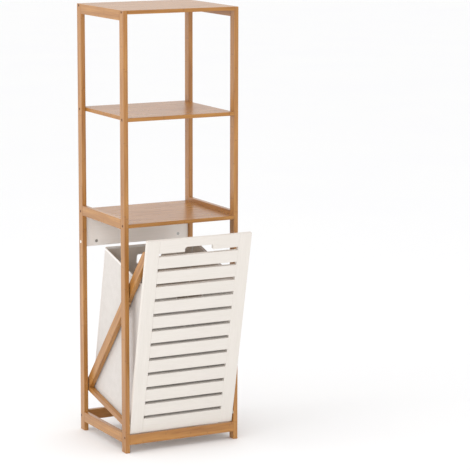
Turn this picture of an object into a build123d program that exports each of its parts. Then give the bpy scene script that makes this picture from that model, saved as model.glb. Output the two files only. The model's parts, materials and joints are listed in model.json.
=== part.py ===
from build123d import *
import os
from math import sin, cos, tan, radians, atan2, hypot

# Bamboo tower shelf with a tilt-out laundry hamper.
# Millimetres, +Z up, +X to the right as seen from the front, front towards -Y.
# The hamper is drawn resting on its open stop; it closes by turning back about its pivot pins.

# ---- tower ----
tower_w = 400.0          # across the outer faces of the posts
tower_d = 350.0          # front face of the front posts to back face of the rear posts
tower_h = 1400.0
post_x, post_y = 15.0, 30.0
post_edge_r = 2.0
post_end_ease = 1.0      # chamfer round both ends of every post
board_t = 12.0           # all three shelf boards
board_edge_r = 1.2
mid_shelf_z = 1068.0     # upper face of the middle shelf
low_shelf_z = 735.0      # upper face of the lower shelf
shelf_rail_h = 32.0      # side rails of the top and of the lower shelf
low_rail_lip = 14.0      # how far the lower side rails stand above their board
rail_t = 15.0            # all bamboo rails
rail_edge_r = 1.5
base_rail_h = 32.0       # front and side base rails
base_rail_z = 26.0       # underside of the front base rail, the length of the feet
base_side_z = 30.0       # underside of the side base rails
base_rear_h = 34.0
back_rail_h = 110.0      # painted rail under the lower shelf
back_rail_t = 15.0
back_rail_edge_r = 1.5

# ---- hamper: u across, n behind the front face, v up from the lower edge ----
side_gap = 3.0           # panel edge to post, each side
face_recess = 2.0        # closed panel behind the faces of the front posts
under_gap = 3.0          # closed panel above the front base rail
over_gap = 8.0           # closed panel below the lower shelf
panel_t = 12.0
panel_edge_r = 1.0
stile_w = 44.0
bottom_rail_h, top_rail_h = 47.0, 44.0
slat_h = 39.5
slat_count = 11
tenon_t, tenon_l, tenon_shoulder = 6.0, 9.0, 4.0
hand_w, hand_h, hand_r = 98.0, 16.0, 8.0   # notch in the lower edge of the panel's top rail
hand_ease = 0.8
open_angle = 12.0
pivot_v = 29.0           # pivot above the panel's lower edge, at half its thickness
brace_t = 15.0           # thickness across X of both bars of each side frame
long_bar_w = 30.0
short_bar_h = 15.0
short_bar_v = 4.0        # underside of the short bars
heel_gap = 8.0           # closed rear end of the short bars in front of the tower's back
heel_v = 41.0            # where the long bar's rear edge meets that end
brace_drop = 42.0        # long bar's flat top end below the panel's upper edge
brace_tip_n = 13.0       # depth of that flat end
cross_w, cross_t = 18.0, 5.0             # flat cross bars under the bag
cross_end = 30.0         # first and last cross bar from the ends of the short bars
cross_in, cross_shoulder = 8.0, 1.5      # how far they enter the short bars, and how high above the underside
rest_gap = 0.5           # closed short bars above the rear base rail

# ---- bag ----
bag_gap_x = 5.0          # bag wall to side frame
bag_wall = 2.5
bag_front_gap = 18.0     # bag's front wall behind the panel
bag_rear_inset = 1.5     # bag's rear wall in front of the short bars' rear ends
bag_lift = 0.3           # bag floor above the cross bars
bag_front_drop, bag_rear_drop = 162.0, 148.0   # rim below the panel's upper edge
bag_hole_w, bag_hole_h, bag_hole_drop, bag_hole_r = 88.0, 32.0, 36.0, 6.0
bag_board_t, bag_board_gap = 3.0, 2.0

# ---- hardware ----
screw_r, screw_l, screw_head_r, screw_head_l = 2.0, 38.0, 4.0, 2.0
socket_r, socket_l = 1.8, 1.4            # hexagon sockets of the screws, across corners / 2
bolt_r, bolt_head_r, bolt_head_l = 3.0, 5.0, 3.0
nut_r, nut_l, nut_inset = 5.0, 12.0, 37.0
nut_edge = 16.0          # back rail's bolts from its lower edge, its dowels from its upper edge
cap_r, cap_t = 5.0, 1.0
dowel_r, dowel_pitch = 4.0, 16.0
dowel_in_post, dowel_in_rail = 10.0, 20.0
pin_r, pin_in, pin_out = 3.0, 22.0, 12.5
bush_clear, bush_wall, bush_l, flange_r, flange_t = 0.05, 1.5, 11.0, 6.5, 1.2
stop_r, stop_in, stop_out = 4.0, 10.0, 12.0
stop_back = 5.0          # stop pin's centre behind the closed panel
stop_clear = 0.15        # stop pin to the long bar when open
frame_screw_r, frame_screw_head_r, frame_screw_head_l = 1.75, 3.5, 2.5
frame_dowel_r, frame_dowel_l = 3.0, 24.0
brace_screw_l, foot_screw_l = 30.0, 40.0

# ---- worked out ----
inner_x = tower_w / 2 - post_x
base_top = base_rail_z + base_rail_h
frame_depth = tower_d - face_recess - heel_gap   # rear end of the short bars, as n
panel_w = 2 * (inner_x - side_gap)
panel_v0 = base_top + under_gap            # lower edge of the closed panel
panel_h = low_shelf_z - board_t - over_gap - panel_v0
slot_count = slat_count + 1
slot_h = (panel_h - bottom_rail_h - top_rail_h - slat_count * slat_h) / slot_count
pivot_n = panel_t / 2
face_y = -tower_d / 2 + face_recess        # closed face, measured from the tower's centre
tilt = radians(open_angle)
front_reach = face_y + pivot_n - pivot_n * cos(tilt) - (panel_h - pivot_v) * sin(tilt)
tower_y = (-front_reach - tower_d / 2) / 2  # puts the origin under the middle of the whole outline
front_y, rear_y = tower_y - tower_d / 2, tower_y + tower_d / 2
brace_x0, brace_x1 = panel_w / 2 - brace_t, panel_w / 2
brace_top_v = panel_h - brace_drop
bag_x = brace_x0 - bag_gap_x
bag_front_n, bag_rear_n = panel_t + bag_front_gap, frame_depth - bag_rear_inset
bag_front_v, bag_rear_v = panel_h - bag_front_drop, panel_h - bag_rear_drop
short_bar_top = short_bar_v + short_bar_h
cross_front_n, cross_rear_n = panel_t + cross_end, frame_depth - cross_end - cross_w
rear_rail_top = panel_v0 + short_bar_v - rest_gap

nodes = {}


def block(x0, x1, y0, y1, z0, z1):
    """Box between two corners."""
    return Pos((x0 + x1) / 2, (y0 + y1) / 2, (z0 + z1) / 2) * Box(x1 - x0, y1 - y0, z1 - z0)


def timber(x0, x1, y0, y1, z0, z1, along, radius):
    """Box whose four edges along one axis are rounded."""
    solid = block(x0, x1, y0, y1, z0, z1)
    return fillet(solid.edges().filter_by(along), radius)


def rod(axis, radius, start, length):
    """Cylinder from a start point, running a given length along +X, +Y or +Z."""
    turn = {"x": Rot(0, 90, 0), "y": Rot(-90, 0, 0), "z": Rot(0, 0, 0)}[axis]
    base = Cylinder(radius, length, align=(Align.CENTER, Align.CENTER, Align.MIN))
    return Pos(*start) * turn * base


def mirrored(solid):
    return mirror(solid, about=Plane.YZ)


def keep(name, shape):
    nodes[name] = shape


def group(solids):
    return Compound(children=list(solids))


# ================= tower =================
screw_z = {
    "top_shelf": tower_h - board_t / 2,
    "middle_shelf": mid_shelf_z - board_t / 2,
    "lower_shelf": low_shelf_z - board_t / 2,
}
front_post_y, rear_post_y = front_y + post_y / 2, rear_y - post_y / 2
base_front_screw_z = base_rail_z + base_rail_h * 0.75
base_rear_screw_z = rear_rail_top - base_rear_h / 2
back_rail_z1 = low_shelf_z - board_t
back_rail_z0 = back_rail_z1 - back_rail_h
bolt_z = back_rail_z0 + nut_edge
bolt_l = post_x + nut_inset + nut_r


def post_screw(y, z):
    """Right-hand flush screw, driven from the post's outer face towards the middle."""
    shank = rod("x", screw_r, (tower_w / 2 - screw_l, y, z), screw_l - screw_head_l)
    head = rod("x", screw_head_r, (tower_w / 2 - screw_head_l, y, z), screw_head_l)
    return shank + head


def socketed(y, z):
    """The same screw with the hexagon socket sunk into its head."""
    hexagon = Plane.YZ.offset(tower_w / 2 - socket_l) * Pos(y, z) * RegularPolygon(socket_r, 6)
    return post_screw(y, z) - extrude(hexagon, 2 * socket_l, dir=(1, 0, 0))


def back_bolt():
    """Right-hand bolt of the painted back rail, sunk under its cap and screwed into a barrel nut."""
    shank = rod("x", bolt_r, (tower_w / 2 - bolt_l, rear_post_y, bolt_z), bolt_l - bolt_head_l)
    head = rod("x", bolt_head_r, (tower_w / 2 - bolt_head_l, rear_post_y, bolt_z), bolt_head_l)
    return shank + head


def back_dowel():
    """Right-hand dowel that keeps the painted back rail from turning about its bolt."""
    start = (inner_x - dowel_in_rail, rear_post_y, back_rail_z1 - nut_edge)
    return rod("x", dowel_r, start, dowel_in_rail + dowel_in_post)


shelf_screw_places = [(y, z) for z in screw_z.values() for y in (front_post_y, rear_post_y)]
rail_screw_places = [
    (front_y + rail_t / 2, base_front_screw_z),
    (rear_y - rail_t / 2, base_rear_screw_z),
]
shelf_screws = [post_screw(*place) for place in shelf_screw_places]
rail_screws = [post_screw(*place) for place in rail_screw_places]


def side_rail_rows():
    """Underside, upper face and dowel heights of the three side rails."""
    rows = {
        "top": (tower_h - shelf_rail_h, tower_h),
        "lower_shelf": (low_shelf_z + low_rail_lip - shelf_rail_h, low_shelf_z + low_rail_lip),
        "base": (base_side_z, base_side_z + base_rail_h),
    }
    for name, (z0, z1) in rows.items():
        middle = (z0 + z1) / 2
        yield name, z0, z1, (middle - dowel_pitch / 2, middle + dowel_pitch / 2)


def rail_dowels(heights):
    """Right-hand dowels that join one side rail to its two posts."""
    x = tower_w / 2 - post_x / 2
    length = dowel_in_post + dowel_in_rail
    for z in heights:
        yield rod("y", dowel_r, (x, front_y + post_y - dowel_in_post, z), length)
        yield rod("y", dowel_r, (x, rear_y - post_y - dowel_in_rail, z), length)


dowels = [d for row in side_rail_rows() for d in rail_dowels(row[3])]

# hamper frame of reference, needed for the holes in the front posts
pivot_y = face_y + tower_y + pivot_n
pivot_z = panel_v0 + pivot_v


def hamper_place(solid, angle=open_angle):
    """Turn a solid drawn in u, n, v about the pivot, by the opening angle."""
    return Pos(0, pivot_y, pivot_z) * Rot(angle, 0, 0) * Pos(0, -pivot_n, -pivot_v) * solid


def opened(n, v):
    """World Y and Z of a point n, v of the open hamper."""
    dn, dv = n - pivot_n, v - pivot_v
    return (pivot_y + dn * cos(tilt) - dv * sin(tilt), pivot_z + dn * sin(tilt) + dv * cos(tilt))


# long bar: its upper rear corner, and its rear edge aimed at the heel of the short bar
tip = (panel_t + brace_tip_n, brace_top_v)
heel = (frame_depth, heel_v)
run_n, run_v = heel[0] - tip[0], heel[1] - tip[1]
run = hypot(run_n, run_v)
square = (run_v / run * long_bar_w, -run_n / run * long_bar_w)   # across the bar, to its front edge


def stop_height():
    """Height where a stop pin just clears the front edge of the open long bar."""
    y0, z0 = opened(tip[0] + square[0], tip[1] + square[1])
    y1, z1 = opened(heel[0] + square[0], heel[1] + square[1])
    slope = (z1 - z0) / (y1 - y0)
    lean = hypot(1.0, slope)
    return z0 + slope * (stop_y - y0) - (stop_r + stop_clear) * lean


stop_y = face_y + tower_y + panel_t + stop_back
stop_z = stop_height()
pivot_bore_r = pin_r + bush_clear + bush_wall


def stop_pin():
    """Right-hand stop pin, pressed into the inner face of the front post."""
    return rod("x", stop_r, (inner_x - stop_out, stop_y, stop_z), stop_out + stop_in)


def bush():
    """Right-hand flanged bush, pressed into a blind bore of the front post."""
    body = rod("x", pivot_bore_r, (inner_x, pivot_y, pivot_z), bush_l)
    flange = rod("x", flange_r, (inner_x - flange_t, pivot_y, pivot_z), flange_t)
    bore = rod("x", pin_r + bush_clear, (inner_x - flange_t, pivot_y, pivot_z), bush_l + flange_t)
    return body + flange - bore


def post(y0):
    """Right-hand post with the holes for its screws, bolts, dowels, bush and stop."""
    solid = timber(inner_x, tower_w / 2, y0, y0 + post_y, 0, tower_h, Axis.Z, post_edge_r)
    ends = solid.faces().sort_by(Axis.Z)
    solid = chamfer(ends[0].edges() + ends[-1].edges(), post_end_ease)
    for cutter in shelf_screws + rail_screws + dowels + [back_bolt(), back_dowel()]:
        solid -= cutter
    solid -= rod("x", pivot_bore_r, (inner_x, pivot_y, pivot_z), bush_l)
    return solid - stop_pin()


def side_rail(z0, z1):
    y0, y1 = front_y + post_y, rear_y - post_y
    solid = timber(inner_x, tower_w / 2, y0, y1, z0, z1, Axis.Y, rail_edge_r)
    for dowel in dowels:
        solid -= dowel
    return solid


def board(top_z):
    """Shelf board between the side frames, with the screw holes in both its ends."""
    solid = timber(-inner_x, inner_x, front_y, rear_y, top_z - board_t, top_z, Axis.X, board_edge_r)
    for screw in shelf_screws:
        solid = solid - screw - mirrored(screw)
    return solid


def cross_rail(y0, y1, z0, z1, radius, holes):
    """Rail between the two side frames, with holes in both its ends."""
    solid = timber(-inner_x, inner_x, y0, y1, z0, z1, Axis.X, radius)
    for hole in holes:
        solid = solid - hole - mirrored(hole)
    return solid


def nut_seat():
    """Right-hand bore of a barrel nut, from the front of the back rail."""
    return rod("y", nut_r, (inner_x - nut_inset, rear_post_y - back_rail_t / 2, bolt_z), nut_l)


def barrel_nut():
    thread = rod("x", bolt_r, (inner_x - nut_inset - nut_r, rear_post_y, bolt_z), 2 * nut_r)
    return nut_seat() - thread


def bolt_cap():
    return rod("x", cap_r, (tower_w / 2, rear_post_y, bolt_z), cap_t)


def make_tower():
    for depth, y0 in (("front", front_y), ("rear", rear_y - post_y)):
        right = post(y0)
        keep(f"right_{depth}_post", right)
        keep(f"left_{depth}_post", mirrored(right))
    for name, z0, z1, _ in side_rail_rows():
        right = side_rail(z0, z1)
        keep(f"right_{name}_side_rail", right)
        keep(f"left_{name}_side_rail", mirrored(right))
    keep("top_shelf_board", board(tower_h))
    keep("middle_shelf_board", board(mid_shelf_z))
    keep("lower_shelf_board", board(low_shelf_z))
    keep("base_front_rail", cross_rail(front_y, front_y + rail_t, base_rail_z, base_top,
                                       rail_edge_r, rail_screws[:1]))
    keep("base_rear_rail", cross_rail(rear_y - rail_t, rear_y, rear_rail_top - base_rear_h,
                                      rear_rail_top, rail_edge_r, rail_screws[1:]))
    back_y0 = rear_post_y - back_rail_t / 2
    keep("painted_back_rail", cross_rail(back_y0, back_y0 + back_rail_t, back_rail_z0, back_rail_z1,
                                         back_rail_edge_r, [back_bolt(), nut_seat(), back_dowel()]))


def make_tower_hardware():
    pairs = {
        "shelf_screws": [socketed(*place) for place in shelf_screw_places],
        "base_rail_screws": [socketed(*place) for place in rail_screw_places],
        "back_rail_bolts": [back_bolt()],
        "back_rail_barrel_nuts": [barrel_nut()],
        "back_rail_bolt_caps": [bolt_cap()],
        "back_rail_dowels": [back_dowel()],
        "side_rail_dowels": dowels,
        "hamper_stop_pins": [stop_pin()],
        "pivot_bushes": [bush()],
    }
    for name, right in pairs.items():
        keep(name, group(right + [mirrored(s) for s in right]))


# ================= hamper panel =================
rail_x = panel_w / 2 - stile_w           # inner edge of the right stile
pitch = slat_h + slot_h


def crosspiece_rows():
    """Name, lower edge and height of every horizontal piece of the panel, bottom to top."""
    yield "panel_bottom_rail", 0.0, bottom_rail_h
    for i in range(slat_count):
        yield f"panel_slat_{i + 1:02d}", bottom_rail_h + slot_h + i * pitch, slat_h
    yield "panel_top_rail", panel_h - top_rail_h, top_rail_h


def tenon(v0, height):
    """Right-hand tenon of a crosspiece, and the shape of its mortise in the stile."""
    n0 = (panel_t - tenon_t) / 2
    return block(rail_x, rail_x + tenon_l, n0, n0 + tenon_t,
                 v0 + tenon_shoulder, v0 + height - tenon_shoulder)


def crosspiece(v0, height):
    """Crosspiece with rounded long edges and a tenon at each end."""
    solid = timber(-rail_x, rail_x, 0, panel_t, v0, v0 + height, Axis.X, panel_edge_r)
    right = tenon(v0, height)
    return solid + right + mirrored(right)


def notched(rail):
    """The panel's top rail with the eased hand-hole cut into its lower edge."""
    v0 = panel_h - top_rail_h
    cutter = block(-hand_w / 2, hand_w / 2, -1, panel_t + 1, v0 - hand_h, v0 + hand_h)
    corners = cutter.edges().filter_by(Axis.Y).group_by(Axis.Z)[-1]
    solid = rail - fillet(corners, hand_r)
    mouth = solid.edges().filter_by_position(Axis.X, -hand_w / 2 - 0.1, hand_w / 2 + 0.1)
    mouth = mouth.filter_by_position(Axis.Z, v0 + panel_edge_r, v0 + hand_h + 0.1)
    faces = mouth.filter_by_position(Axis.Y, -0.1, 0.1) + mouth.filter_by_position(
        Axis.Y, panel_t - 0.1, panel_t + 0.1)
    return chamfer(faces, hand_ease)


def pivot_pin():
    """Right-hand pivot pin, pressed into the edge of the stile."""
    return rod("x", pin_r, (panel_w / 2 - pin_in, pivot_n, pivot_v), pin_in + pin_out)


def brace_screw():
    """Right-hand screw from the back of the long bar's upper end into the stile."""
    x, v = (brace_x0 + brace_x1) / 2, brace_top_v - 15.0
    head_n = panel_t / 3 + brace_screw_l
    shank = rod("y", frame_screw_r, (x, panel_t / 3, v), brace_screw_l - frame_screw_head_l)
    head = rod("y", frame_screw_head_r, (x, head_n - frame_screw_head_l, v), frame_screw_head_l)
    return shank + head


def foot_screw():
    """Right-hand screw from under the short bar's rear end into the long bar."""
    x, n = (brace_x0 + brace_x1) / 2, frame_depth - 14.0
    neck = short_bar_v + frame_screw_head_l
    shank = rod("z", frame_screw_r, (x, n, neck), foot_screw_l - frame_screw_head_l)
    return shank + rod("z", frame_screw_head_r, (x, n, short_bar_v), frame_screw_head_l)


def heel_dowel():
    """Right-hand dowel between the stile and the front end of the short bar."""
    x = (brace_x0 + brace_x1) / 2
    start = (x, panel_t / 3, short_bar_v + short_bar_h / 2)
    return rod("y", frame_dowel_r, start, frame_dowel_l)


cross_bar_n = {
    "basket_front_cross_bar": cross_front_n,
    "basket_middle_cross_bar": (cross_front_n + cross_rear_n) / 2,
    "basket_rear_cross_bar": cross_rear_n,
}


def cross_bar(n0):
    """Flat cross bar, both ends let into mortises of the short bars."""
    reach = brace_x0 + cross_in
    v0 = short_bar_v + cross_shoulder
    return block(-reach, reach, n0, n0 + cross_w, v0, v0 + cross_t)


def stile():
    """Right-hand stile with its mortises and the holes for the pin, screw and dowel."""
    solid = timber(rail_x, panel_w / 2, 0, panel_t, 0, panel_h, Axis.Z, panel_edge_r)
    for _, v0, height in crosspiece_rows():
        solid -= tenon(v0, height)
    for cutter in (pivot_pin(), brace_screw(), heel_dowel()):
        solid -= cutter
    return solid


def long_bar():
    """Right-hand long bar: flat top end, face against the stile, plumb heel, foot on the short bar."""
    over = 60.0
    unit = (run_n / run, run_v / run)
    a = (tip[0] - unit[0] * over, tip[1] - unit[1] * over)
    b = (heel[0] + unit[0] * over, heel[1] + unit[1] * over)
    corners = [a, b, (b[0] + square[0], b[1] + square[1]), (a[0] + square[0], a[1] + square[1])]
    outline = make_face(Polyline(*[(n, v) for n, v in corners], close=True))
    window = Pos((panel_t + frame_depth) / 2, (short_bar_top + brace_top_v) / 2) * Rectangle(
        frame_depth - panel_t, brace_top_v - short_bar_top)
    face = Plane.YZ.offset(brace_x0) * (outline & window)
    solid = extrude(face, brace_t, dir=(1, 0, 0))
    return solid - brace_screw() - brace_screw_pocket() - foot_screw()


def brace_screw_pocket():
    """Counterbore behind the head of the brace screw, open to the bar's sloping back."""
    x, v = (brace_x0 + brace_x1) / 2, brace_top_v - 15.0
    return rod("y", frame_screw_head_r, (x, panel_t / 3 + brace_screw_l, v), brace_screw_l)


def short_bar():
    """Right-hand short bar, level when the hamper is closed."""
    solid = timber(brace_x0, brace_x1, panel_t, frame_depth, short_bar_v, short_bar_top,
                   Axis.Y, rail_edge_r / 3)
    solid = solid - foot_screw() - heel_dowel()
    for n0 in cross_bar_n.values():
        solid -= cross_bar(n0)
    return solid


def make_panel():
    right = stile()
    keep("panel_right_stile", hamper_place(right))
    keep("panel_left_stile", hamper_place(mirrored(right)))
    for name, v0, height in crosspiece_rows():
        solid = crosspiece(v0, height)
        if name == "panel_top_rail":
            solid = notched(solid)
        keep(name, hamper_place(solid))


def make_basket_frame():
    for name, right in (("long_bar", long_bar()), ("short_bar", short_bar())):
        keep(f"right_{name}", hamper_place(right))
        keep(f"left_{name}", hamper_place(mirrored(right)))
    for name, n0 in cross_bar_n.items():
        keep(name, hamper_place(cross_bar(n0)))
    pairs = {
        "pivot_pins": [pivot_pin()],
        "basket_frame_screws": [brace_screw(), foot_screw()],
        "basket_frame_dowels": [heel_dowel()],
    }
    for name, right in pairs.items():
        keep(name, hamper_place(group(right + [mirrored(s) for s in right])))


# ================= bag =================
bag_v0 = short_bar_v + cross_shoulder + cross_t + bag_lift


def rim_wedge(n0, n1, v0, x):
    """Closed prism from a level floor up to the sloping rim line."""
    slope = (bag_rear_v - bag_front_v) / (bag_rear_n - bag_front_n)
    top = [(n, bag_front_v + slope * (n - bag_front_n)) for n in (n0, n1)]
    outline = make_face(Polyline((n0, v0), (n1, v0), top[1], top[0], close=True))
    return extrude(Plane.YZ.offset(-x) * outline, 2 * x, dir=(1, 0, 0))


def bag_hand_hole(n_face, rim_v):
    """Rounded slot through the front or the rear wall."""
    v1 = rim_v - bag_hole_drop
    cutter = block(-bag_hole_w / 2, bag_hole_w / 2, n_face - bag_wall, n_face + bag_wall,
                   v1 - bag_hole_h, v1)
    return fillet(cutter.edges().filter_by(Axis.Y), bag_hole_r)


def make_bag():
    """Open-topped box bag with a hand-hole in its front and its rear wall, and its floor board."""
    outer = rim_wedge(bag_front_n, bag_rear_n, bag_v0, bag_x)
    hollow_n0, hollow_n1 = bag_front_n + bag_wall, bag_rear_n - bag_wall
    hollow = block(-bag_x + bag_wall, bag_x - bag_wall, hollow_n0, hollow_n1,
                   bag_v0 + bag_wall, bag_rear_v + 10)
    solid = outer - hollow
    solid -= bag_hand_hole(bag_front_n + bag_wall / 2, bag_front_v)
    solid -= bag_hand_hole(bag_rear_n - bag_wall / 2, bag_rear_v)
    keep("laundry_bag", hamper_place(solid))
    floor_v = bag_v0 + bag_wall
    inset = bag_wall + bag_board_gap
    plate = block(-bag_x + inset, bag_x - inset, bag_front_n + inset, bag_rear_n - inset,
                  floor_v, floor_v + bag_board_t)
    keep("bag_floor_board", hamper_place(plate))


def main():
    make_tower()
    make_tower_hardware()
    make_panel()
    make_basket_frame()
    make_bag()
    os.makedirs("parts", exist_ok=True)
    for name, shape in nodes.items():
        export_step(shape, f"parts/{name}.step")
    print(len(nodes), "nodes; tower centre at Y", round(tower_y, 3), "stop pin Z", round(stop_z, 2))
    print("panel", panel_w, "x", panel_h, "slot", round(slot_h, 3), "pivot", round(pivot_y, 3), pivot_z)


main()
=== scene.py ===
import json
from functools import partial
from math import atan2, cos, pi, radians, sin

import bmesh
import bpy
import numpy as np
from mathutils import Matrix, Vector


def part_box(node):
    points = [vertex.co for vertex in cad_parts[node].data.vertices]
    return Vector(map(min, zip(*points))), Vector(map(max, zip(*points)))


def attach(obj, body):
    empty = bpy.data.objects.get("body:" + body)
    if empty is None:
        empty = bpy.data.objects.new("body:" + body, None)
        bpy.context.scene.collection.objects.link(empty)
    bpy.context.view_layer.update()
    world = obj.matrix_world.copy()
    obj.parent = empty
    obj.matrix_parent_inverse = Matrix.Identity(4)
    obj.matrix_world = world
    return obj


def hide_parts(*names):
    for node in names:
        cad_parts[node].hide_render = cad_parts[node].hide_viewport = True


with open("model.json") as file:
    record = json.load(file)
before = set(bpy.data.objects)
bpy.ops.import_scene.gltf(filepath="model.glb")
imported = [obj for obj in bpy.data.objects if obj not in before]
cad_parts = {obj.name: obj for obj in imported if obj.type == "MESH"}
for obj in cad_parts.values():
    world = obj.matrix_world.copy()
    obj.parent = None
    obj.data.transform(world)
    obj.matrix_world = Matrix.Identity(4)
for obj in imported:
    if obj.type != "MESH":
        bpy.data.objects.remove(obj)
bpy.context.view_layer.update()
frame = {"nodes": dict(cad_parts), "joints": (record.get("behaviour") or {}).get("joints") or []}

MM = 0.001

# The hamper's own upright frame is the row frame with the hamper closed. Its lean is undone about the pins.
hinge = frame["joints"][0]
pivot = np.array(hinge["pos_m"])
open_angle = radians(-hinge["range_deg"][0])


# ---------------------------------------------------------------- camera, light and floor
def look_from(place, yaw, pitch, roll, lens):
    """Camera at a place, turned right of straight ahead by yaw and downwards by pitch, in degrees."""
    data = bpy.data.cameras.new("camera")
    data.lens = lens
    data.sensor_width = 36.0
    data.clip_end = 200.0
    camera = bpy.data.objects.new("camera", data)
    camera.location = place
    turn = (
        Matrix.Rotation(-radians(yaw), 4, "Z")
        @ Matrix.Rotation(radians(90.0 - pitch), 4, "X")
        @ Matrix.Rotation(radians(roll), 4, "Z")
    )
    camera.rotation_euler = turn.to_euler()
    bpy.context.scene.collection.objects.link(camera)
    bpy.context.scene.camera = camera


def softbox(name, place, aim, width, height, watts, colour):
    """Rectangular lamp that faces a point."""
    data = bpy.data.lights.new(name, "AREA")
    data.shape = "RECTANGLE"
    data.size = width
    data.size_y = height
    data.energy = watts
    data.color = colour
    lamp = bpy.data.objects.new(name, data)
    lamp.location = place
    lamp.rotation_euler = (Vector(aim) - Vector(place)).to_track_quat("-Z", "Y").to_euler()
    bpy.context.scene.collection.objects.link(lamp)


WORLD_STRENGTH = 1.07


def studio_world():
    """White surroundings that light everything evenly."""
    world = bpy.data.worlds.new("white_studio")
    world.use_nodes = True
    background = world.node_tree.nodes["Background"]
    background.inputs["Color"].default_value = (1.0, 1.0, 1.0, 1.0)
    background.inputs["Strength"].default_value = WORLD_STRENGTH
    bpy.context.scene.world = world


# ---------------------------------------------------------------- materials
def srgb(code):
    """Linear colour of an sRGB hex value."""
    v = np.array([int(code[i:i + 2], 16) for i in (1, 3, 5)]) / 255.0
    linear = np.where(v <= 0.04045, v / 12.92, ((v + 0.055) / 1.055) ** 2.4)
    return (*linear.tolist(), 1.0)


def put(tree, kind, inputs, **settings):
    """Adds one shader node, sets what settings name, and links or sets its inputs."""
    made = tree.nodes.new("ShaderNode" + kind)
    for name, value in settings.items():
        setattr(made, name, value)
    for key, value in inputs.items():
        if isinstance(value, bpy.types.Node):
            value = value.outputs[0]
        if isinstance(value, bpy.types.NodeSocket):
            tree.links.new(value, made.inputs[key])
        else:
            made.inputs[key].default_value = value
    return made


def start_material(name):
    """An empty material: itself, and the function that adds a node to it."""
    material = bpy.data.materials.new(name)
    material.use_nodes = True
    material.node_tree.nodes.clear()
    return material, partial(put, material.node_tree)


def finish_material(add, colour, height, strength, distance_mm, surface):
    """Principled surface with a colour, a relief of so many millimetres and the rest of its values."""
    relief = add("Bump", {"Height": height, "Strength": strength, "Distance": distance_mm * MM})
    shader = add("BsdfPrincipled", {"Base Color": colour, "Normal": relief, **surface})
    add("OutputMaterial", {"Surface": shader})


def streaks(add, place, across_mm, along_mm, detail):
    """Noise drawn out along the pattern's Z."""
    wide, long = 1000.0 / across_mm, 1000.0 / along_mm
    scaled = add("Mapping", {"Vector": place, "Scale": (wide, wide, long)})
    return add("TexNoise", {"Vector": scaled, "Scale": 1.0, "Detail": detail}).outputs["Fac"]


STRIP_MM = (7.5, 15.0)         # section of the strips that rails and posts are glued up from
BOARD_STRIP_MM = (12.0, 20.0)  # the same for the shelf boards
KNUCKLE_MM = 230.0             # from one knuckle of a bamboo cane to the next


def bamboo(name, turn, strip_mm, gloss, coat):
    """Carbonised strip bamboo under satin lacquer. The eye gets straight fine fibres, strips of slightly
    different brown, and a narrow darker knuckle across each strip, never in line with its neighbour's."""
    material, add = start_material(name)
    place = add("TexCoord", {}).outputs["Object"]
    lengthwise = add("Mapping", {"Vector": place, "Rotation": turn})
    per_strip = (1000.0 / strip_mm[0], 1000.0 / strip_mm[1], 0.0)
    cells = add("Mapping", {"Vector": lengthwise, "Scale": per_strip})
    strip = add("VectorMath", {0: cells}, operation="FLOOR")
    chance = add("TexWhiteNoise", {"Vector": strip}, noise_dimensions="3D").outputs["Value"]
    length = add("SeparateXYZ", {"Vector": lengthwise}).outputs["Z"]
    shift = add("Math", {0: chance, 1: 7.0}, operation="MULTIPLY")
    along = add("Math", {0: length, 1: 1000.0 / KNUCKLE_MM, 2: shift}, operation="MULTIPLY_ADD")
    phase = add("Math", {0: along, 1: 0.5}, operation="PINGPONG")
    knuckle = add("MapRange", {"Value": phase, "From Min": 0.011, "From Max": 0.002})
    fibres = streaks(add, lengthwise, 1.5, 70.0, 3.0)
    clouds = streaks(add, lengthwise, 14.0, 190.0, 2.0)
    sum_of_both = add("Math", {0: fibres, 1: clouds}, operation="ADD")
    depth = add("MapRange", {"Value": sum_of_both, "From Min": 0.72, "From Max": 1.45})
    tone = add("MixRGB", {"Fac": depth, "Color1": srgb("#BB8644"), "Color2": srgb("#8D5823")})
    by_strip = add("Math", {0: chance, 1: 0.20}, operation="MULTIPLY")
    strip_tone = add("MixRGB", {"Fac": by_strip, "Color1": tone, "Color2": srgb("#7A4520")})
    mark = add("Math", {0: knuckle, 1: 0.34}, operation="MULTIPLY")
    colour = add("MixRGB", {"Fac": mark, "Color1": strip_tone, "Color2": srgb("#6B3F20")})
    height = add("Math", {0: knuckle, 1: -0.8, 2: fibres}, operation="MULTIPLY_ADD")
    rough = add("MapRange", {"Value": clouds, "To Min": gloss, "To Max": gloss + 0.14})
    lacquer = {"Roughness": rough.outputs[0], "IOR": 1.47, "Coat Weight": coat, "Coat Roughness": gloss}
    finish_material(add, colour, height, 0.10, 0.3, lacquer)
    return material


def satin_paint(name, turn, film, shade):
    """Fine-grained wood sprayed with warm white satin paint. The grain tells faintly through the film, which
    has the slight orange peel of a spray gun."""
    material, add = start_material(name)
    place = add("TexCoord", {}).outputs["Object"]
    lengthwise = add("Mapping", {"Vector": place, "Rotation": turn})
    grain = streaks(add, lengthwise, 2.4, 80.0, 3.0)
    patches = streaks(add, lengthwise, 45.0, 160.0, 2.0)
    peel = streaks(add, place, 1.4, 1.4, 1.0)
    grain_depth = add("MapRange", {"Value": grain, "From Min": 0.35, "From Max": 0.75})
    tone = add("MixRGB", {"Fac": grain_depth, "Color1": srgb(film), "Color2": srgb(shade)})
    patch_depth = add("Math", {0: patches, 1: 0.35}, operation="MULTIPLY")
    colour = add("MixRGB", {"Fac": patch_depth, "Color1": tone, "Color2": srgb("#E6E1DB")})
    height = add("Math", {0: peel, 1: 0.4, 2: grain}, operation="MULTIPLY_ADD")
    rough = add("MapRange", {"Value": patches, "To Min": 0.34, "To Max": 0.46})
    finish_material(add, colour, height, 0.08, 0.3, {"Roughness": rough.outputs[0], "IOR": 1.48})
    return material


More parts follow.
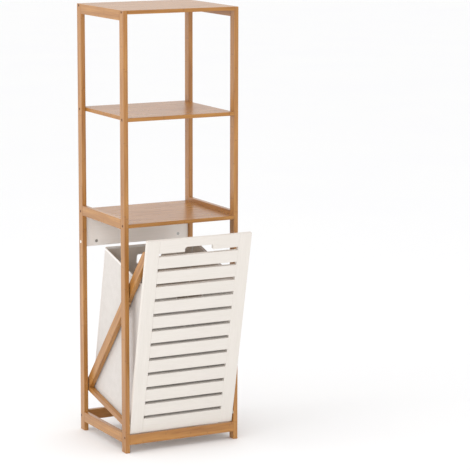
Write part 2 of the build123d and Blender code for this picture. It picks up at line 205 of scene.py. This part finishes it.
def speckled(name, tint, second, grain_mm, surface):
    """A moulded, plated or turned finish: two near colours in a fine speckle that is also the relief."""
    material, add = start_material(name)
    place = add("TexCoord", {}).outputs["Object"]
    speckle = streaks(add, place, grain_mm, grain_mm, 2.0)
    share = add("MapRange", {"Value": speckle, "From Min": 0.3, "From Max": 0.7})
    colour = add("MixRGB", {"Fac": share, "Color1": srgb(tint), "Color2": srgb(second)})
    finish_material(add, colour, speckle, 0.2, 0.05, surface)
    return material


def woven(name, warp, weft, thread_mm, surface):
    """Plain-weave cloth in the piece's own UV metres. Warp and weft pass over and under each other, and slubs
    make some threads a little lighter. Threads are about twice as coarse as real ones, so that they show."""
    material, add = start_material(name)
    flat = add("UVMap", {}, uv_map="cloth")
    parts = add("SeparateXYZ", {"Vector": flat}).outputs
    turns = pi / (thread_mm * MM)
    wave_u = add("Math", {0: add("Math", {0: parts["X"], 1: turns}, operation="MULTIPLY")}, operation="SINE")
    wave_v = add("Math", {0: add("Math", {0: parts["Y"], 1: turns}, operation="MULTIPLY")}, operation="SINE")
    over = add("Math", {0: wave_u, 1: wave_v}, operation="MULTIPLY")
    slub = streaks(add, flat, 24.0, 24.0, 4.0)
    side = add("MapRange", {"Value": over, "From Min": -0.5, "From Max": 0.5})
    thread = add("MixRGB", {"Fac": side, "Color1": srgb(warp), "Color2": srgb(weft)})
    slubs = add("MapRange", {"Value": slub, "From Min": 0.4, "From Max": 0.8})
    colour = add("MixRGB", {"Fac": slubs, "Color1": thread, "Color2": srgb(weft)})
    crown = add("Math", {0: over}, operation="ABSOLUTE")
    height = add("Math", {0: slub, 1: 0.6, 2: crown}, operation="MULTIPLY_ADD")
    finish_material(add, colour, height, 0.3, 0.3, {"Sheen Roughness": 0.5, **surface})
    return material


# ---------------------------------------------------------------- surfaces
def leaned(points):
    """Upright hamper points, turned about the pins to where the open hamper has them."""
    p = np.asarray(points, float) - pivot
    c, s = cos(open_angle), sin(open_angle)
    y = p[..., 1] * c - p[..., 2] * s
    z = p[..., 1] * s + p[..., 2] * c
    return np.stack([p[..., 0], y, z], -1) + pivot


def upright(node):
    """A hamper node's points with the lean undone."""
    co = np.array([v.co for v in frame["nodes"][node].data.vertices], float) - pivot
    c, s = cos(open_angle), -sin(open_angle)
    y = co[:, 1] * c - co[:, 2] * s
    z = co[:, 1] * s + co[:, 2] * c
    return np.stack([co[:, 0], y, z], -1) + pivot


def piece(name, points, faces, uv, materials, face_material=None):
    """Smooth mesh object of vertices, faces, UV metres per vertex and, where given, a material per face."""
    mesh = bpy.data.meshes.new(name)
    mesh.from_pydata(points.reshape(-1, 3).tolist(), [], faces)
    layer = mesh.uv_layers.new(name="cloth")
    corner = np.zeros(len(mesh.loops), np.int32)
    mesh.loops.foreach_get("vertex_index", corner)
    layer.data.foreach_set("uv", uv.reshape(-1, 2)[corner].astype(np.float32).ravel())
    for material in materials:
        mesh.materials.append(material)
    if face_material is not None:
        mesh.polygons.foreach_set("material_index", np.asarray(face_material, np.int32))
    mesh.shade_smooth()
    mesh.update()
    made = bpy.data.objects.new(name, mesh)
    bpy.context.scene.collection.objects.link(made)
    return made


def grid_faces(rows, columns, closed_rows=False, closed_columns=False, flip=False):
    """Quads of a grid of rows by columns of vertices, which may close on itself either way."""
    r = np.arange(rows if closed_rows else rows - 1)
    c = np.arange(columns if closed_columns else columns - 1)
    i, j = np.meshgrid(r, c, indexing="ij")
    i2, j2 = (i + 1) % rows, (j + 1) % columns
    quads = np.stack([i * columns + j, i * columns + j2, i2 * columns + j2, i2 * columns + j], -1)
    quads = quads.reshape(-1, 4)
    return (quads[:, ::-1] if flip else quads).tolist()


def fix_normals(made):
    """Merges doubles and points the faces of a closed shape outwards."""
    bm = bmesh.new()
    bm.from_mesh(made.data)
    bmesh.ops.remove_doubles(bm, verts=bm.verts, dist=1e-6)
    bmesh.ops.recalc_face_normals(bm, faces=bm.faces)
    bm.to_mesh(made.data)
    bm.free()


def rounded_rectangle(half_x, half_y, radius, count):
    """Closed outline of straight sides and quarter-circle corners, in even steps of length: its points, its
    normals and the length run up to each point."""
    straight_x, straight_y = 2 * (half_x - radius), 2 * (half_y - radius)
    arc = pi * radius / 2
    marks = np.cumsum([0, straight_x, arc, straight_y, arc, straight_x, arc, straight_y, arc])
    s = np.arange(count) / count * marks[-1]
    point = np.zeros((count, 2))
    normal = np.zeros((count, 2))
    cx, cy = half_x - radius, half_y - radius
    sides = [  # start, direction, normal of each straight side, then the corner that follows it
        ((-cx, -half_y), (1, 0), (0, -1), (cx, -cy), -pi / 2),
        ((half_x, -cy), (0, 1), (1, 0), (cx, cy), 0.0),
        ((cx, half_y), (-1, 0), (0, 1), (-cx, cy), pi / 2),
        ((-half_x, cy), (0, -1), (-1, 0), (-cx, -cy), pi),
    ]
    for k, (start, way, out, centre, angle0) in enumerate(sides):
        on = (s >= marks[2 * k]) & (s < marks[2 * k + 1])
        run = (s[on] - marks[2 * k])[:, None]
        point[on] = np.array(start) + run * np.array(way)
        normal[on] = out
        turn = (s >= marks[2 * k + 1]) & (s < marks[2 * k + 2])
        angle = angle0 + (s[turn] - marks[2 * k + 1]) / radius
        around = np.stack([np.cos(angle), np.sin(angle)], -1)
        point[turn] = np.array(centre) + radius * around
        normal[turn] = around
    return point, normal, s


# ---------------------------------------------------------------- the laundry bag
bag_points = upright("laundry_bag")
bag_low, bag_high = bag_points.min(0), bag_points.max(0)
bag_mid_y = (bag_low[1] + bag_high[1]) / 2
front_rim = bag_points[bag_points[:, 1] < bag_mid_y][:, 2].max()
rear_rim = bag_high[2]
bag_half_x = bag_high[0]
bag_half_y = (bag_high[1] - bag_low[1]) / 2
cross_bars = sorted((upright(f"basket_{k}_cross_bar")[:, 1] for k in ("front", "middle", "rear")), key=min)
BAG_WALL = 2.5 * MM
BAG_CORNER = 7.0 * MM
BAG_EDGE = 3.0 * MM                       # rounding between the walls and the floor
FLOOR_SAG = 4.5 * MM
WALL_COLUMNS = 320
RIM_TAPE_W, HOLE_TAPE_W, TAPE_T = 7.0 * MM, 3.5 * MM, 0.5 * MM    # binding tape: folded widths, thickness
HOLE_W, HOLE_H, HOLE_DROP, HOLE_R = 88.0 * MM, 32.0 * MM, 36.0 * MM, 6.0 * MM
HOLE_POINTS = 96                          # vertices round a hand-hole
PIPING_R, BINDING_R, FLOOR_SEAM_R = 1.0 * MM, 1.7 * MM, 1.2 * MM
STITCH_PITCH, STITCH_LENGTH, STITCH_R = 4.2 * MM, 3.0 * MM, 0.32 * MM
STITCH_LIFT = 0.1 * MM                    # thread's middle above the tape
RIM_STITCH_INSET, HOLE_STITCH_INSET = 2.0 * MM, 1.6 * MM    # stitch lines from the tape's edge
FOOT_SHARE, TAPE_SHARE = 0.012, 0.992     # heights just above the floor and just below the rim
STIFFENER_POINTS = 160                    # vertices round the floor stiffener
STIFFENER_CORNER = 8.0 * MM
VALLEY_W, VALLEY_DEPTH = 2.2 * MM, 0.9 * MM    # sewn lines of the stiffener

outline, outline_normal, outline_run = rounded_rectangle(bag_half_x, bag_half_y, BAG_CORNER, WALL_COLUMNS)


def across_wall(point, normal):
    """Where a point of the outline is on its own wall, from -1 at one corner to 1 at the other."""
    on_side = np.abs(normal[:, 0]) > np.abs(normal[:, 1])
    return np.where(on_side, point[:, 1] / bag_half_y, point[:, 0] / bag_half_x)


def hump(height):
    """Nothing at the floor and the rim, one half way up, as half a sine wave."""
    return np.sin(pi * np.clip(height, 0.0, 1.0))


def wall_swell(q, height, normal):
    """How far the wall stands out of the flat, at a share q of the wall's width and at a share of its height:
    the stiffened walls belly out by 3 mm just above the floor, lean in by 1 mm at the rim, and carry shallow
    upright waves."""
    belly = (1 - q ** 4) * (3.0 * np.exp(-(height / 0.16) ** 2) - 1.0 * height ** 3)
    wave = 0.8 * np.sin(7.3 * q + 2.1 * normal[..., 0] + 0.8) * (1 - q ** 4) * hump(height)
    return (belly + wave) * MM


def rim_height(point, q):
    """The rim rises from front to rear and dips a little at the middle of each wall."""
    share = (point[:, 1] + bag_half_y) / (2 * bag_half_y)
    return front_rim + (rear_rim - front_rim) * share - 1.2 * MM * (1 - q ** 2)


def floor_height(y):
    """The cloth floor lies on the cross bars and sags between them in half sine waves."""
    sag = np.zeros_like(y)
    for near, far in zip(cross_bars[:-1], cross_bars[1:]):
        share = np.clip((y - near.max()) / (far.min() - near.max()), 0.0, 1.0)
        sag += FLOOR_SAG * np.sin(pi * share)
    return bag_low[2] - sag


q_outline = across_wall(outline, outline_normal)
rim_z = rim_height(outline, q_outline)
foot_z = floor_height(outline[:, 1] + bag_mid_y)


def wall_ring(height, inset, lift=0.0):
    """Ring of the bag's wall at a share of its height, moved inwards by inset and up by lift."""
    swell = wall_swell(q_outline, height, outline_normal)
    xy = outline + outline_normal * (swell - inset)[:, None]
    z = foot_z + (rim_z - foot_z) * height + lift
    return np.stack([xy[:, 0], xy[:, 1] + bag_mid_y, z], -1)


def floor_rings(edge, shares, lift):
    """Rings of the floor: the edge ring drawn in towards the middle by each share, at the height of the
    sagging floor."""
    centre = np.array([0.0, bag_mid_y, 0.0])
    rings = centre + (edge - centre) * np.array(shares)[:, None, None]
    rings[..., 2] = floor_height(rings[..., 1]) + lift
    return list(rings)


def bag_shell(canvas, lining):
    """Closed shell of the bag, lofted through rings: from the middle of the floor outwards, round the lower
    edge in a quarter circle, up the outside of the wall, over the rim in a half circle, down the inside and
    back to the middle of the floor. Each ring is the outline, moved in or out by the wall's swell."""
    length = rear_rim - bag_low[2]
    heights = np.linspace(FOOT_SHARE, TAPE_SHARE, 44)
    shares = np.linspace(0.02, 0.985, 16)
    rings = floor_rings(wall_ring(0.0, BAG_EDGE), shares, 0.0)
    for angle in np.linspace(0.0, pi / 2, 5):
        rings.append(wall_ring(0.0, BAG_EDGE * (1 - sin(angle)), BAG_EDGE * (1 - cos(angle))))
    rings += [wall_ring(h, 0.0) for h in heights]
    for angle in np.linspace(0.15 * pi, 0.85 * pi, 6):
        rings.append(wall_ring(0.996, BAG_WALL / 2 * (1 - cos(angle)), sin(angle) * BAG_WALL / 2))
    outside = len(rings) - 3
    rings += [wall_ring(h, BAG_WALL) for h in heights[::-1]]
    rings += floor_rings(wall_ring(0.0, BAG_WALL), shares[::-1], BAG_WALL)
    rows, columns = len(rings), WALL_COLUMNS
    grid = np.array(rings)
    climb = np.linspace(0.0, 2 * (length + bag_half_y), rows)
    uv = np.stack(np.broadcast_arrays(outline_run[None, :], climb[:, None]), -1)
    middle_z = floor_height(np.array([bag_mid_y]))[0]
    poles = np.array([[0, bag_mid_y, middle_z], [0, bag_mid_y, middle_z + BAG_WALL]])
    points = leaned(np.concatenate([grid.reshape(-1, 3), poles]))
    uv = np.concatenate([uv.reshape(-1, 2), [[0.2, 0.0], [0.2, climb[-1]]]])
    faces = grid_faces(rows, columns, closed_columns=True)
    material = np.repeat(np.arange(1, rows) > outside, columns).astype(int).tolist()
    j = np.arange(columns)
    first, last = rows * columns, rows * columns + 1
    end = (rows - 1) * columns
    faces += np.stack([np.full(columns, first), (j + 1) % columns, j], -1).tolist()
    faces += np.stack([np.full(columns, last), end + j, end + (j + 1) % columns], -1).tolist()
    material += [0] * columns + [1] * columns
    made = piece("laundry_bag_shell", points, faces, uv, [canvas, lining], material)
    fix_normals(made)
    return made


def hole_outline(rim, grow):
    """Outline of a hand-hole, grown by a margin, as x and height, and its normals."""
    half_w, half_h = HOLE_W / 2 + grow, HOLE_H / 2 + grow
    point, normal, _ = rounded_rectangle(half_w, half_h, HOLE_R + grow, HOLE_POINTS)
    return point + [0.0, rim - HOLE_DROP - HOLE_H / 2], normal


def wall_middle(x, z, front):
    """Depth of the middle of the front or rear wall's thickness at a point of it."""
    sign = -1.0 if front else 1.0
    rim = front_rim if front else rear_rim
    height = (z - bag_low[2]) / (rim - bag_low[2])
    swell = wall_swell(x / bag_half_x, height, np.zeros(2))
    return bag_mid_y + sign * (bag_half_y + swell - BAG_WALL / 2)


def cut_hand_hole(shell, front):
    """Takes a rounded slot out of the front or rear wall."""
    rim = front_rim if front else rear_rim
    point, _ = hole_outline(rim, 0.0)
    depth = wall_middle(point[:, 0], point[:, 1], front)
    reach = 3 * BAG_WALL
    sides = [np.stack([point[:, 0], depth + d, point[:, 1]], -1) for d in (-reach, reach)]
    ends = [list(range(HOLE_POINTS)), list(range(2 * HOLE_POINTS - 1, HOLE_POINTS - 1, -1))]
    faces = grid_faces(2, HOLE_POINTS, closed_columns=True) + ends
    cutter = piece("hole_cutter", leaned(np.array(sides)), faces, np.zeros((2 * HOLE_POINTS, 2)), [])
    fix_normals(cutter)
    boolean = shell.modifiers.new("hole", "BOOLEAN")
    boolean.operation = "DIFFERENCE"
    boolean.solver = "EXACT"
    boolean.object = cutter
    applied(shell)
    bpy.data.objects.remove(cutter)


def applied(made):
    """Replaces a piece's mesh by what its modifiers make of it, and removes them."""
    bpy.context.view_layer.update()
    graph = bpy.context.evaluated_depsgraph_get()
    mesh = bpy.data.meshes.new_from_object(made.evaluated_get(graph))
    made.modifiers.clear()
    made.data = mesh


def band(name, centre, out, up, half_up, half_out, material, power=4.0, sides=20):
    """Closed loop of tape: at each point of a closed centre line stands a flat rounded section, which is a
    superellipse with its long half along up and its short half along out."""
    angle = np.arange(sides) / sides * 2 * pi
    a = np.sign(np.cos(angle)) * np.abs(np.cos(angle)) ** (2 / power) * half_up
    b = np.sign(np.sin(angle)) * np.abs(np.sin(angle)) ** (2 / power) * half_out
    points = centre[:, None, :] + up[:, None, :] * a[None, :, None] + out[:, None, :] * b[None, :, None]
    step = np.linalg.norm(np.roll(centre, -1, 0) - centre, axis=1)
    run = np.concatenate([[0.0], np.cumsum(step)[:-1]])
    around = np.concatenate([[0.0], np.cumsum(np.hypot(np.diff(a), np.diff(b)))])
    uv = np.stack(np.broadcast_arrays(run[:, None], around[None, :]), -1)
    faces = grid_faces(len(centre), sides, closed_rows=True, closed_columns=True)
    made = piece(name, leaned(points), faces, uv, [material])
    fix_normals(made)
    return made


def rim_binding(tape):
    """Tape folded over the rim: the band's long half is upright and its short half crosses the wall."""
    middle = wall_ring(TAPE_SHARE, BAG_WALL / 2)
    middle[:, 2] -= RIM_TAPE_W / 2 - BAG_WALL / 2 - TAPE_T
    out = np.concatenate([outline_normal, np.zeros((WALL_COLUMNS, 1))], 1)
    up = np.tile([0.0, 0.0, 1.0], (WALL_COLUMNS, 1))
    return band("bag_rim_binding", middle, out, up, RIM_TAPE_W / 2, BAG_WALL / 2 + TAPE_T, tape)


def hole_binding(front, tape):
    """Tape folded over the edge of a hand-hole: the long half runs away from the hole, along the wall."""
    rim = front_rim if front else rear_rim
    point, normal = hole_outline(rim, HOLE_TAPE_W / 2 - TAPE_T)
    depth = wall_middle(point[:, 0], point[:, 1], front)
    centre = np.stack([point[:, 0], depth, point[:, 1]], -1)
    up = np.stack([normal[:, 0], np.zeros(HOLE_POINTS), normal[:, 1]], -1)
    out = np.tile([0.0, -1.0 if front else 1.0, 0.0], (HOLE_POINTS, 1))
    name = "bag_front_hole_binding" if front else "bag_rear_hole_binding"
    return band(name, centre, out, up, HOLE_TAPE_W / 2, BAG_WALL / 2 + TAPE_T, tape)


def tube(name, path, radius, material, closed=False, sides=10):
    """Round cord along a path: a circle stands square to the path at each of its points."""
    ahead = np.roll(path, -1, 0) - np.roll(path, 1, 0)
    if not closed:
        ahead[0], ahead[-1] = path[1] - path[0], path[-1] - path[-2]
    ahead /= np.linalg.norm(ahead, axis=1)[:, None]
    guide = np.where(np.abs(ahead[:, 2:]) > 0.7, [[1.0, 0.0, 0.0]], [[0.0, 0.0, 1.0]])
    first = np.cross(ahead, guide)
    first /= np.linalg.norm(first, axis=1)[:, None]
    second = np.cross(ahead, first)
    angle = np.arange(sides) / sides * 2 * pi
    across, upwards = np.cos(angle)[None, :, None], np.sin(angle)[None, :, None]
    points = path[:, None, :] + radius * (first[:, None, :] * across + second[:, None, :] * upwards)
    run = np.concatenate([[0.0], np.cumsum(np.linalg.norm(np.diff(path, axis=0), axis=1))])
    uv = np.stack(np.broadcast_arrays(run[:, None], (angle * radius)[None, :]), -1)
    rows = len(path)
    faces = grid_faces(rows, sides, closed_rows=closed, closed_columns=True)
    if not closed:
        faces += [list(range(sides))[::-1], list(range((rows - 1) * sides, rows * sides))]
    made = piece(name, leaned(points), faces, uv, [material])
    fix_normals(made)
    return made


def corner_seams(tape):
    """Seams of the bag: piping up the outside of each corner and round the floor, half sunk in the cloth, and
    the bound seam allowance up the inside of each corner."""
    made = []
    angle = np.arctan2(outline_normal[:, 1], outline_normal[:, 0])
    for k, name in enumerate(("rear_right", "rear_left", "front_left", "front_right")):
        target = pi / 4 + k * pi / 2
        column = int(np.argmin(np.abs((angle - target + pi) % (2 * pi) - pi)))
        heights = np.linspace(FOOT_SHARE, 0.975, 30)
        path = np.array([wall_ring(h, 0.3 * MM)[column] for h in heights])
        made.append(tube(f"bag_{name}_seam", path, PIPING_R, tape))
        path = np.array([wall_ring(h, BAG_WALL + 1.0 * MM)[column] for h in heights])
        made.append(tube(f"bag_{name}_inner_binding", path, BINDING_R, tape))
    floor = wall_ring(0.0, 0.3 * BAG_EDGE, 0.3 * BAG_EDGE)
    made.append(tube("bag_floor_seam", floor, FLOOR_SEAM_R, tape, closed=True))
    return made


def stitches(name, path, out, material):
    """Row of thread stitches along a path: each is a six-sided capsule laid along the path on the cloth."""
    gaps = np.linalg.norm(np.diff(path, axis=0), axis=1)
    run = np.concatenate([[0.0], np.cumsum(gaps)])
    at = np.arange(STITCH_PITCH / 2, run[-1] - STITCH_PITCH / 2, STITCH_PITCH)

    def along(values, places):
        return np.stack([np.interp(places, run, values[:, k]) for k in range(3)], -1)

    start, end = along(path, at - STITCH_LENGTH / 2), along(path, at + STITCH_LENGTH / 2)
    normal = along(out, at)
    way = end - start
    way /= np.linalg.norm(way, axis=1)[:, None]
    side = np.cross(way, normal)
    side /= np.linalg.norm(side, axis=1)[:, None]
    lift = np.cross(side, way)
    stations = np.array([-0.5, -0.36, 0.0, 0.36, 0.5]) * STITCH_LENGTH
    sizes = np.array([0.35, 1.0, 1.15, 1.0, 0.35]) * STITCH_R
    angle = np.arange(6) / 6 * 2 * pi
    centre = (start + end) / 2
    points = (
        centre[:, None, None, :]
        + way[:, None, None, :] * stations[None, :, None, None]
        + side[:, None, None, :] * (sizes[:, None] * np.cos(angle))[None, :, :, None]
        + lift[:, None, None, :] * (sizes[:, None] * np.sin(angle))[None, :, :, None]
    )
    one = grid_faces(5, 6, closed_columns=True) + [[5, 4, 3, 2, 1, 0], [24, 25, 26, 27, 28, 29]]
    faces = [[v + 30 * k for v in face] for k in range(len(at)) for face in one]
    flat = leaned(points).reshape(-1, 3)
    uv = flat[:, [0, 2]]
    return piece(name, flat, faces, uv, [material])


def rim_stitches(thread):
    """Stitch line just above the lower edge of the rim's tape, on the outside."""
    depth = RIM_TAPE_W - RIM_STITCH_INSET
    path = wall_ring(TAPE_SHARE, -(TAPE_T + STITCH_LIFT))
    path[:, 2] -= depth - BAG_WALL / 2 - TAPE_T
    out = np.concatenate([outline_normal, np.zeros((WALL_COLUMNS, 1))], 1)
    return stitches("bag_rim_stitches", path, out, thread)


def hole_stitches(front, thread):
    """Stitch line round a hand-hole, near the outer edge of its tape, on the outside."""
    rim = front_rim if front else rear_rim
    sign = -1.0 if front else 1.0
    point, _ = hole_outline(rim, HOLE_TAPE_W - HOLE_STITCH_INSET)
    depth = wall_middle(point[:, 0], point[:, 1], front) + sign * (BAG_WALL / 2 + TAPE_T + STITCH_LIFT)
    path = np.stack([point[:, 0], depth, point[:, 1]], -1)
    path = np.concatenate([path, path[:1]])
    out = np.tile([0.0, sign, 0.0], (len(path), 1))
    name = "bag_front_hole_stitches" if front else "bag_rear_hole_stitches"
    return stitches(name, path, out, thread)


def floor_stiffener(lining):
    """Stiffener covered in lining cloth: rings of a rounded rectangle, drawn in towards its middle. The
    height of the top is the board's thickness, less a quadratic rounding at the edge, less two narrow
    bell-shaped valleys where the cloth is sewn down."""
    co = upright("bag_floor_board")
    low, high = co.min(0), co.max(0)
    half_x, half_y = (high[0] - low[0]) / 2, (high[1] - low[1]) / 2
    thick = high[2] - low[2]
    centre = np.array([0.0, (low[1] + high[1]) / 2, low[2]])
    point, _, _ = rounded_rectangle(half_x, half_y, STIFFENER_CORNER, STIFFENER_POINTS)
    round_from = 0.93
    rings = []
    for share in np.concatenate([np.linspace(0.02, round_from, 26), [0.955, 0.975, 0.99, 0.998]]):
        xy = point * share
        edge_drop = thick / 2 * max(0.0, (share - round_from) / (1 - round_from)) ** 2
        valley = VALLEY_DEPTH * np.exp(-((np.abs(xy[:, 0]) - half_x * 0.36) / VALLEY_W) ** 2)
        rings.append(np.column_stack([xy, thick - edge_drop - valley * (share < round_from)]))
    rings.append(np.column_stack([point, np.full(STIFFENER_POINTS, thick / 2)]))
    for share in (0.995, 0.5, 0.02):
        rings.append(np.column_stack([point * share, np.zeros(STIFFENER_POINTS)]))
    rows, columns = len(rings), STIFFENER_POINTS
    points = np.concatenate([*rings, [[0.0, 0.0, thick], [0.0, 0.0, 0.0]]]) + centre
    j = np.arange(columns)
    top_pole, low_pole, end = rows * columns, rows * columns + 1, (rows - 1) * columns
    faces = grid_faces(rows, columns, closed_columns=True)
    faces += np.stack([np.full(columns, top_pole), (j + 1) % columns, j], -1).tolist()
    faces += np.stack([np.full(columns, low_pole), end + j, end + (j + 1) % columns], -1).tolist()
    made = piece("bag_floor_stiffener", leaned(points), faces, points[:, :2], [lining])
    fix_normals(made)
    return made


# ---------------------------------------------------------------- making it all
def dress(node, material):
    """Gives a rigid node one material."""
    mesh = frame["nodes"][node].data
    mesh.materials.clear()
    mesh.materials.append(material)


def grain_turns():
    """Turns that bring each member's length to the pattern's Z."""
    low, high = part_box("left_long_bar")
    lean = atan2(high.y - low.y, high.z - low.z)
    return {
        "standing": (0.0, 0.0, 0.0),
        "across": (0.0, -pi / 2, 0.0),
        "front_to_back": (pi / 2, 0.0, 0.0),
        "long_bar": (-lean, 0.0, 0.0),
        "short_bar": (pi / 2 - open_angle, 0.0, 0.0),
        "stile": (-open_angle, 0.0, 0.0),
        "slat": (0.0, -pi / 2, 0.0),
    }


def dress_nodes():
    """Gives every rigid node the material it is made of, with the grain along its length."""
    turns = grain_turns()
    standing = bamboo("bamboo_upright", turns["standing"], STRIP_MM, 0.24, 0.3)
    across = bamboo("bamboo_crosswise", turns["across"], STRIP_MM, 0.24, 0.3)
    back = bamboo("bamboo_front_to_back", turns["front_to_back"], STRIP_MM, 0.24, 0.3)
    board = bamboo("bamboo_board", turns["across"], BOARD_STRIP_MM, 0.22, 0.0)
    long_bar = bamboo("bamboo_long_bar", turns["long_bar"], STRIP_MM, 0.24, 0.3)
    short_bar = bamboo("bamboo_short_bar", turns["short_bar"], STRIP_MM, 0.24, 0.3)
    warm_white = ("#DBD5CE", "#D5CFC7")
    paint_across = satin_paint("satin_paint_crosswise", turns["slat"], *warm_white)
    paint_stile = satin_paint("satin_paint_upright", turns["stile"], *warm_white)
    # The back rail's film is whiter than the panel's only to stand in for light that too little of reaches it
    # under the shelf: this extra brightness is painted light, not a different paint.
    rail_paint_with_painted_light = satin_paint("satin_paint_back_rail_painted_light", turns["slat"], "#F0ECE8", "#EAE6E1")
    # Bright zinc plate: a cool grey glint. Bronze plate: small dark red-brown discs on the posts.
    zinc = speckled("zinc_plated_steel", "#B4B2AE", "#9C9A96", 0.8, {"Metallic": 1.0, "Roughness": 0.35})
    bronze = speckled("bronze_plated_steel", "#70442C", "#55321F", 0.8, {"Metallic": 1.0, "Roughness": 0.45})
    # Turned birch: dull, pale wood. Moulded nylon and polyethylene: off-white, the cap a little shinier.
    birch = speckled("turned_birch", "#C7A67A", "#B08D60", 2.0, {"Roughness": 0.6})
    nylon = speckled("moulded_nylon", "#DAD6CC", "#CFCBC0", 1.0, {"Roughness": 0.5, "IOR": 1.53})
    cap = speckled("moulded_polyethylene", "#E9E5DF", "#DEDAD3", 1.5, {"Roughness": 0.4, "IOR": 1.51})
    for node in frame["nodes"]:
        if node.endswith("_post"):
            dress(node, standing)
        elif node.endswith("_shelf_board"):
            dress(node, board)
        elif node.endswith("_side_rail"):
            dress(node, back)
        elif node in ("base_front_rail", "base_rear_rail") or node.endswith("_cross_bar"):
            dress(node, across)
        elif node.endswith("_long_bar"):
            dress(node, long_bar)
        elif node.endswith("_short_bar"):
            dress(node, short_bar)
        elif node.endswith("_stile"):
            dress(node, paint_stile)
        elif node.startswith("panel_"):
            dress(node, paint_across)
        elif node == "painted_back_rail":
            dress(node, rail_paint_with_painted_light)
        elif node.endswith(("dowels", "stop_pins")):
            dress(node, birch)
        elif node == "pivot_bushes":
            dress(node, nylon)
        elif node == "back_rail_bolt_caps":
            dress(node, cap)
        elif node in ("shelf_screws", "base_rail_screws"):
            dress(node, bronze)
        elif node.endswith(("screws", "bolts", "nuts", "pivot_pins")):
            dress(node, zinc)


def make_bag():
    """The bag with its stiffener, bindings, seams and stitches, all riding on the hamper."""
    # Stiffened canvas: matt, warm off-white. Lining: matt and a shade browner. Cotton tape and polyester
    # thread: whiter lines along every edge and seam.
    canvas = woven("off_white_canvas", "#D8D3CF", "#CCC7C2", 1.3, {"Roughness": 0.8, "Sheen Weight": 0.1})
    lining = woven("warm_grey_lining", "#DAD1C7", "#CBC1B6", 1.5, {"Roughness": 0.85, "Sheen Weight": 0.1})
    tape = woven("cotton_tape", "#F0EDEA", "#E6E2DE", 0.9, {"Roughness": 0.75, "Sheen Weight": 0.1})
    thread = speckled("polyester_thread", "#E8E3DC", "#D9D2C9", 0.4, {"Roughness": 0.6})
    shell = bag_shell(canvas, lining)
    cut_hand_hole(shell, front=True)
    cut_hand_hole(shell, front=False)
    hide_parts("laundry_bag")
    stiffener = floor_stiffener(lining)
    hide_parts("bag_floor_board")
    made = [shell, stiffener, rim_binding(tape), rim_stitches(thread)]
    made += [hole_binding(front, tape) for front in (True, False)]
    made += [hole_stitches(front, thread) for front in (True, False)]
    made += corner_seams(tape)
    for one in made:
        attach(one, "hamper")


def make_stage():
    """Pale level floor, 80 m square so that it reaches the skyline, and white surroundings. One soft lamp is
    high on the left, and one in front, nearer the floor, lights the hollows."""
    count, half = 64, 40.0
    x = np.linspace(-half, half, count)
    grid = np.stack([*np.meshgrid(x, x, indexing="ij"), np.zeros((count, count))], -1)
    ground = speckled("pale_floor", "#F5F5F5", "#F4F4F5", 900.0, {"Roughness": 0.8})
    floor = piece("studio_floor", grid, grid_faces(count, count, flip=True), grid[..., :2], [ground])
    studio_world()
    softbox("left_softbox", (-2.3, -0.2, 2.4), (0.0, 0.0, 1.3), 2.4, 2.4, 22.0, (1.0, 0.98, 0.96))
    softbox("front_softbox", (-2.0, -3.5, 1.2), (0.0, 0.1, 0.7), 1.8, 1.8, 25.0, (1.0, 0.99, 0.97))


tower_middle = (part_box("left_front_post")[0].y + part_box("left_rear_post")[1].y) / 2
CAMERA_PLACE = (-3.1299, tower_middle - 6.4554, 1.9307)
look_from(CAMERA_PLACE, yaw=27.852, pitch=10.046, roll=0.139, lens=173.05)

dress_nodes()
make_bag()
make_stage()
bpy.context.scene.view_settings.view_transform = "Standard"
